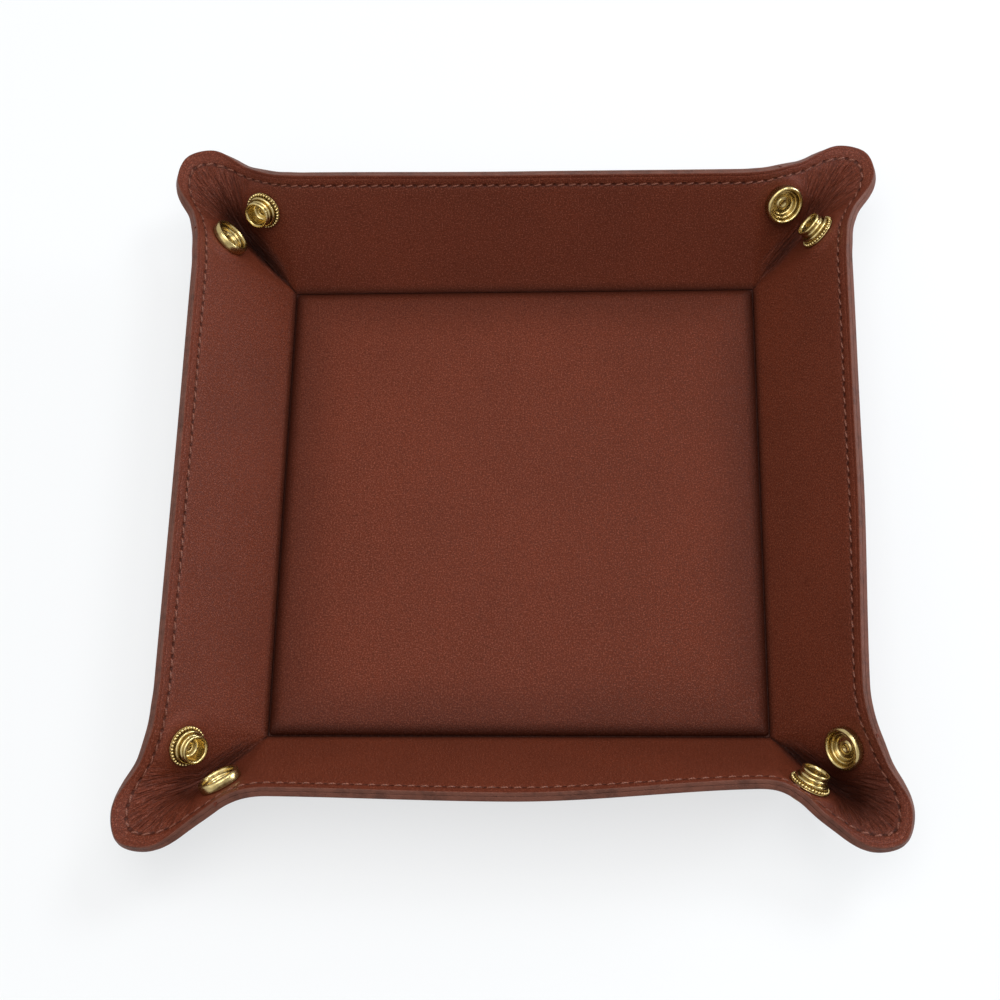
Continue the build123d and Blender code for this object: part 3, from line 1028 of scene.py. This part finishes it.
def grain_group():
    """Fine leather grain: small rounded cells with creases between them, broken up by two noises.
    Out come a height, a slow tone that varies over the hide, and the cells themselves."""
    group, entry, leave = new_group(
        "leather_grain",
        [("Vector", "NodeSocketVector", None), ("Scale", "NodeSocketFloat", grain_scale)],
        [("Height", "NodeSocketFloat"), ("Tone", "NodeSocketFloat"), ("Pores", "NodeSocketFloat")])
    place, scale = entry.outputs["Vector"], entry.outputs["Scale"]

    def scaled(share):
        """The grain's scale times a share."""
        return math_node(group, "MULTIPLY", scale, share)

    wobble = node(group, "ShaderNodeTexNoise", Vector=place, Scale=scaled(wobble_scale_share))
    bent = node(group, "ShaderNodeVectorMath", {"operation": "MULTIPLY_ADD"},
                i0=wobble.outputs["Color"], i1=(wobble_size,) * 3, i2=place).outputs[0]
    cells = node(group, "ShaderNodeTexVoronoi", {"feature": "DISTANCE_TO_EDGE"}, Vector=bent, Scale=scale)
    pillow = spread(group, cells.outputs["Distance"], 0.0, pillow_width)
    fine = noise(group, place, scaled(fine_scale_share), detail=3.0, roughness=0.6)
    coarse = noise(group, place, scaled(coarse_scale_share), detail=4.0, roughness=0.55)
    hide = noise(group, place, scaled(hide_scale_share), detail=5.0, roughness=0.6)
    height = math_node(group, "ADD", math_node(group, "MULTIPLY", pillow, pillow_height_share),
                       math_node(group, "MULTIPLY", fine, fine_height_share))
    height = math_node(group, "ADD", height, math_node(group, "MULTIPLY", coarse, coarse_height_share))
    group.links.new(height, leave.inputs["Height"])
    group.links.new(hide, leave.inputs["Tone"])
    group.links.new(pillow, leave.inputs["Pores"])
    return group


def sunk(tree, mask, body, height, shade, depth_share, strength):
    """Colour mixed with a painted shade, and height lowered, where a mask is."""
    height = math_node(tree, "SUBTRACT", height, math_node(tree, "MULTIPLY", mask, depth_share))
    return mixed(tree, math_node(tree, "MULTIPLY", mask, strength), body, shade), height


def edge_paint(tree, place, body, paint):
    """Paint on the cut edges, worn darker in places."""
    edge = spread(tree, vertex_value(tree, "edge_paint"), *paint_range)
    worn = spread(tree, noise(tree, place, paint_wear_scale, detail=5.0, roughness=0.7), *paint_wear_range)
    return mixed(tree, edge, body, mixed(tree, worn, paint, darkened(paint, paint_wear_dark_share)))


def wrinkles(tree, body, height, colour):
    """Fine wrinkles in the valley of an ear: lines where a noise drawn out along the pleats
    crosses its middle, sunk into the relief and darkened with painted shade."""
    wave = noise(tree, sheet_map(tree, "fan"), wrinkle_scale, detail=1.6, roughness=0.6)
    away = math_node(tree, "ABSOLUTE", math_node(tree, "SUBTRACT", wave, 1 / 2))
    line = math_node(tree, "MULTIPLY", spread(tree, away, 0.0, wrinkle_width, 1.0, 0.0),
                     vertex_value(tree, "valley"))
    shade = darkened(colour, wrinkle_painted_shade_share)
    return sunk(tree, line, body, height, shade, wrinkle_depth_share, wrinkle_painted_shade_strength)


def needle_holes(tree, body, height, colour):
    """Needle holes between the stitches: where the cosine of the way along the seam, a full turn to
    a stitch, is high and the seam line is near, sunk into the relief and darkened with painted shade."""
    axes = node(tree, "ShaderNodeSeparateXYZ", Vector=sheet_map(tree, "seam"))
    turns = math_node(tree, "MULTIPLY", axes.outputs["X"], 2 * np.pi / stitch_spacing)
    between = spread(tree, math_node(tree, "COSINE", turns), *hole_run_range)
    beside = math_node(tree, "ABSOLUTE", math_node(tree, "SUBTRACT", axes.outputs["Y"], seam_inset))
    hole = math_node(tree, "MULTIPLY", between, spread(tree, beside, *hole_reach_range, 1.0, 0.0))
    shade = darkened(colour, hole_painted_shade_share)
    return sunk(tree, hole, body, height, shade, hole_depth_share, hole_painted_shade_strength)


def leather(name, colour, dark_share, rough, shine, paint=None):
    """Leather: colour that varies slowly over the hide and darkens in its pores, painted shade where
    the piece's painted-shade values are high, and rougher where the grain is low. With edge paint
    it is a sewn sheet, with its cut edges painted, and wrinkles in the valleys and needle holes along
    the seam, both sunk into the relief and darkened with painted shade."""
    material, tree, shader = new_material(name)
    below = node(tree, "ShaderNodeCombineXYZ", Z=vertex_value(tree, "depth")).outputs[0]
    place = node(tree, "ShaderNodeVectorMath", {"operation": "ADD"},
                 i0=sheet_map(tree, "flat"), i1=below).outputs[0]
    grain = node(tree, "ShaderNodeGroup", {"node_tree": leather_grain}, Vector=place, Scale=grain_scale)
    height = grain.outputs["Height"]
    roughness = spread(tree, height, *grain_height_range, rough + rough_in_grain, rough + rough_on_grain)
    tone = spread(tree, grain.outputs["Tone"], *tone_range)
    body = mixed(tree, tone, darkened(colour, dark_share), colour)
    pores = spread(tree, grain.outputs["Pores"], *pore_range, pore_strength, 0.0)
    body = mixed(tree, pores, body, darkened(colour, pore_dark_share))
    speck = noise(tree, place, grain_scale * speck_scale_share)
    body = mixed(tree, spread(tree, speck, *speck_range, 0.0, speck_strength), body, speck_brown)
    # Painted shade: the colour darkened by a share where the piece's painted-shade values are high
    painted_shade = math_node(tree, "MULTIPLY", vertex_value(tree, "painted_shade"), painted_shade_strength)
    body = mixed(tree, painted_shade, body, darkened(colour, painted_shade_dark_share))
    if paint:
        body = edge_paint(tree, place, body, paint)
        body, height = wrinkles(tree, body, height, colour)
        body, height = needle_holes(tree, body, height, colour)
    finish_shader(tree, shader, body, roughness, height, 1.0, grain_bump_height)
    shader.inputs["Specular IOR Level"].default_value = shine
    return material


def brass():
    """Polished brass: yellow metal with small scuffs and darker lacquer in patches."""
    material, tree, shader = new_material("snap_brass")
    place = object_place(tree)
    cloud = spread(tree, noise(tree, place, brass_cloud_scale, detail=5.0, roughness=0.6), *brass_cloud_range)
    scuff = noise(tree, place, brass_scuff_scale, detail=3.0, roughness=0.7)
    colour = mixed(tree, cloud, brass_bright, brass_dull)
    roughness = spread(tree, scuff, *brass_scuff_range, *brass_rough_range)
    finish_shader(tree, shader, colour, roughness, scuff, brass_relief_share, brass_relief)
    shader.inputs["Metallic"].default_value = 1.0
    return material


def thread():
    """Sewing thread: strands twisted along the stitch as fine waves, slightly fuzzy and matt."""
    material, tree, shader = new_material("seam_thread")
    place = object_place(tree)
    twist = node(tree, "ShaderNodeTexWave", {"bands_direction": "DIAGONAL"}, Vector=place,
                 Scale=thread_twist_scale, Distortion=2.0).outputs["Fac"]
    fuzz = noise(tree, place, thread_fuzz_scale, detail=3.0)
    colour = mixed(tree, twist, thread_dark, thread_light)
    roughness = spread(tree, fuzz, *plain_range, *thread_rough_range)
    finish_shader(tree, shader, colour, roughness, twist, thread_relief_share, thread_relief)
    return material


def pressed_board():
    """Grey-brown fibre board: short fibres as stretched noise, with rough matt faces."""
    material, tree, shader = new_material("pressed_board")
    drawn = node(tree, "ShaderNodeMapping", Vector=object_place(tree), Scale=board_stretch).outputs[0]
    fibre = noise(tree, drawn, board_fibre_scale, detail=8.0, roughness=0.7)
    colour = mixed(tree, fibre, board_dark, board_light)
    roughness = spread(tree, fibre, *plain_range, *board_rough_range)
    finish_shader(tree, shader, colour, roughness, fibre, board_relief_share, board_relief)
    return material


leather_grain = grain_group()
lining_leather = leather("lining_leather", brown, dark_share=0.80, rough=0.45, shine=0.15, paint=edge_brown)
outer_leather = leather("outer_leather", brown, dark_share=0.78, rough=0.50, shine=0.16, paint=edge_brown)
pad_leather = leather("pad_leather", brown, dark_share=0.84, rough=0.47, shine=0.11)
snap_brass = brass()
seam_thread = thread()
board_material = pressed_board()


# The tray

def dress(piece, material, slot, *nodes):
    """Gives a piece its material and hides the CAD nodes that it stands for. The slot argument is not used.
    """
    piece.data.materials.append(material)
    if nodes:
        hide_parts(*nodes)
    return piece


lining_depths = (0, lining_thickness)
outer_depths = (leather_thickness, lining_thickness + layer_gap)
layers = (("lining", lining_leather, "lining_leather", lining_depths),
          ("outer_leather", outer_leather, "outer_leather", outer_depths))

x_seam, y_seam, seam_heading = seam_places()
seam_angle = np.degrees(np.arctan2(y_seam, x_seam))

for quarter, side in enumerate(sides):
    next_side = sides[(quarter + 1) % 4]
    wall = side + "_wall"
    next_wall = next_side + "_wall"
    near_ear = next_side + "_" + side + "_ear"
    far_ear = side + "_" + next_side + "_ear"

    for title, material, slot, (near, far) in layers:
        piece = wall_layer(wall + "_" + title + "_sheet", quarter, near, far)
        dress(piece, material, slot, wall + "_" + title)
        if title == "lining":
            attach(piece, wall)
        else:
            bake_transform(piece)
        piece = corner_layer(near_ear + "_" + title + "_sheet", quarter, ear_split, near_split,
                             ridge_columns, near, far)
        dress(piece, material, slot, near_ear + "_" + title)
        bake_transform(piece)
        piece = corner_layer(far_ear + "_" + title + "_sheet", quarter, 0, ear_split,
                             valley_columns, near, far)
        dress(piece, material, slot, far_ear + "_" + title)
        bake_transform(piece)

    board = wall_board(wall + "_bent_board", quarter)
    dress(board, board_material, "board", wall + "_board")
    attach(board, wall)

    cores = ((wall + "_end_fold_core", 0, wall), (far_ear + "_end_fold_core", 0, far_ear),
             (near_ear + "_core", ear_split, near_ear))
    for name, line, body in cores:
        core = fold_core(name, quarter, line)
        dress(core, outer_leather, "outer_leather")
        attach(core, body)

    # The seam, split where the leather is split
    groups_of_stitches = (
        (wall + "_seam", seam_angle < 0, wall, None, wall + "_stitching"),
        (far_ear + "_seam", (seam_angle >= 0) & (seam_angle < ear_split), near_ear, far_ear,
         far_ear + "_stitching"),
        (near_ear + "_seam", (seam_angle >= ear_split) & (seam_angle < near_split), next_wall, near_ear,
         near_ear + "_stitching"),
        (next_wall + "_near_seam", seam_angle >= near_split, next_wall, None, None))
    for name, chosen, first, second, stood_for in groups_of_stitches:
        piece = stitch_mesh(name, x_seam[chosen], y_seam[chosen], seam_heading[chosen], quarter)
        dress(piece, seam_thread, "thread", *([stood_for] if stood_for else []))
        if second is None:
            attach(piece, first)
        else:
            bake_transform(piece)

    # Snaps
    stud = snap_piece(far_ear + "_stud_turned", stud_outline_shares, quarter, False, pearls=True)
    socket = snap_piece(near_ear + "_socket_turned", socket_outline_shares, quarter, True)
    for piece, ear, title in ((stud, far_ear, "stud"), (socket, near_ear, "socket")):
        dress(piece, snap_brass, "snap_brass", ear + "_" + title)
        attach(piece, ear)
    for ear, mirror in ((far_ear, False), (near_ear, True)):
        piece = snap_piece(ear + "_domed_cap", cap_outline_shares, quarter, mirror, below=True)
        dress(piece, snap_brass, "snap_brass", ear + "_cap")
        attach(piece, ear)

base_pad = pad()
dress(base_pad, pad_leather, "lining_leather", "base_lining", "base_foam")
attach(base_pad, "base")
base_underside = underside()
dress(base_underside, pad_leather, "outer_leather", "base_outer_leather")
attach(base_underside, "base")
base_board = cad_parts["base_board"]
base_board.data.materials.clear()
base_board.data.materials.append(board_material)


# Floor, light and camera

def floor_paper():
    """Plain floor: pale and matt, with a hardly visible unevenness, lifted towards white by a share
    where the camera or a gloss sees it."""
    material, tree, shader = new_material("floor_paper")
    cloud = noise(tree, object_place(tree), floor_cloud_scale)
    tree.links.new(mixed(tree, cloud, floor_colour, darkened(floor_colour, floor_cloud_share)),
                   shader.inputs["Base Color"])
    shader.inputs["Roughness"].default_value = floor_rough
    shader.inputs["Specular IOR Level"].default_value = floor_shine
    shine = node(tree, "ShaderNodeEmission", Color=backdrop_colour, Strength=1.0)
    blend = tree.nodes.new("ShaderNodeMixShader")
    tree.links.new(math_node(tree, "MULTIPLY", seen_share(tree), floor_lift_share), blend.inputs[0])
    tree.links.new(shader.outputs[0], blend.inputs[1])
    tree.links.new(shine.outputs[0], blend.inputs[2])
    tree.links.new(blend.outputs[0], tree.nodes["Material Output"].inputs["Surface"])
    return material


floor_mesh = bpy.data.meshes.new("floor")
floor_mesh.from_pydata([(-floor_half, -floor_half, 0), (floor_half, -floor_half, 0),
                        (floor_half, floor_half, 0), (-floor_half, floor_half, 0)], [], [(0, 1, 2, 3)])
floor = bpy.data.objects.new("floor", floor_mesh)
bpy.context.scene.collection.objects.link(floor)
floor_mesh.materials.append(floor_paper())


def lamp(name, place, size, power, colour):
    """Square soft lamp that shines at the tray."""
    light = bpy.data.lights.new(name, "AREA")
    light.shape = "SQUARE"
    light.size = size
    light.energy = power
    light.color = colour
    holder = bpy.data.objects.new(name, light)
    bpy.context.scene.collection.objects.link(holder)
    holder.location = place
    holder.visible_camera = False
    holder.rotation_mode = "QUATERNION"
    holder.rotation_quaternion = Vector([-part for part in place]).to_track_quat("-Z", "Y")
    return holder


for settings in lamps:
    lamp(*settings)

world = bpy.data.worlds.new("studio")
bpy.context.scene.world = world
world.use_nodes = True
tree = world.node_tree
background = tree.nodes["Background"]
background.inputs["Color"].default_value = (1, 1, 1, 1)
lift = math_node(tree, "MULTIPLY", seen_share(tree), world_lift)
strength = math_node(tree, "ADD", world_strength, lift)
tree.links.new(strength, background.inputs["Strength"])

camera = bpy.data.cameras.new("camera")
camera.lens = camera_lens
camera.shift_x = camera_shift
camera.clip_start = camera_near
viewer = bpy.data.objects.new("camera", camera)
viewer.location = camera_place
viewer.rotation_euler = np.radians(camera_turn)
bpy.context.scene.collection.objects.link(viewer)
bpy.context.scene.camera = viewer
bpy.context.scene.view_settings.view_transform = "Standard"
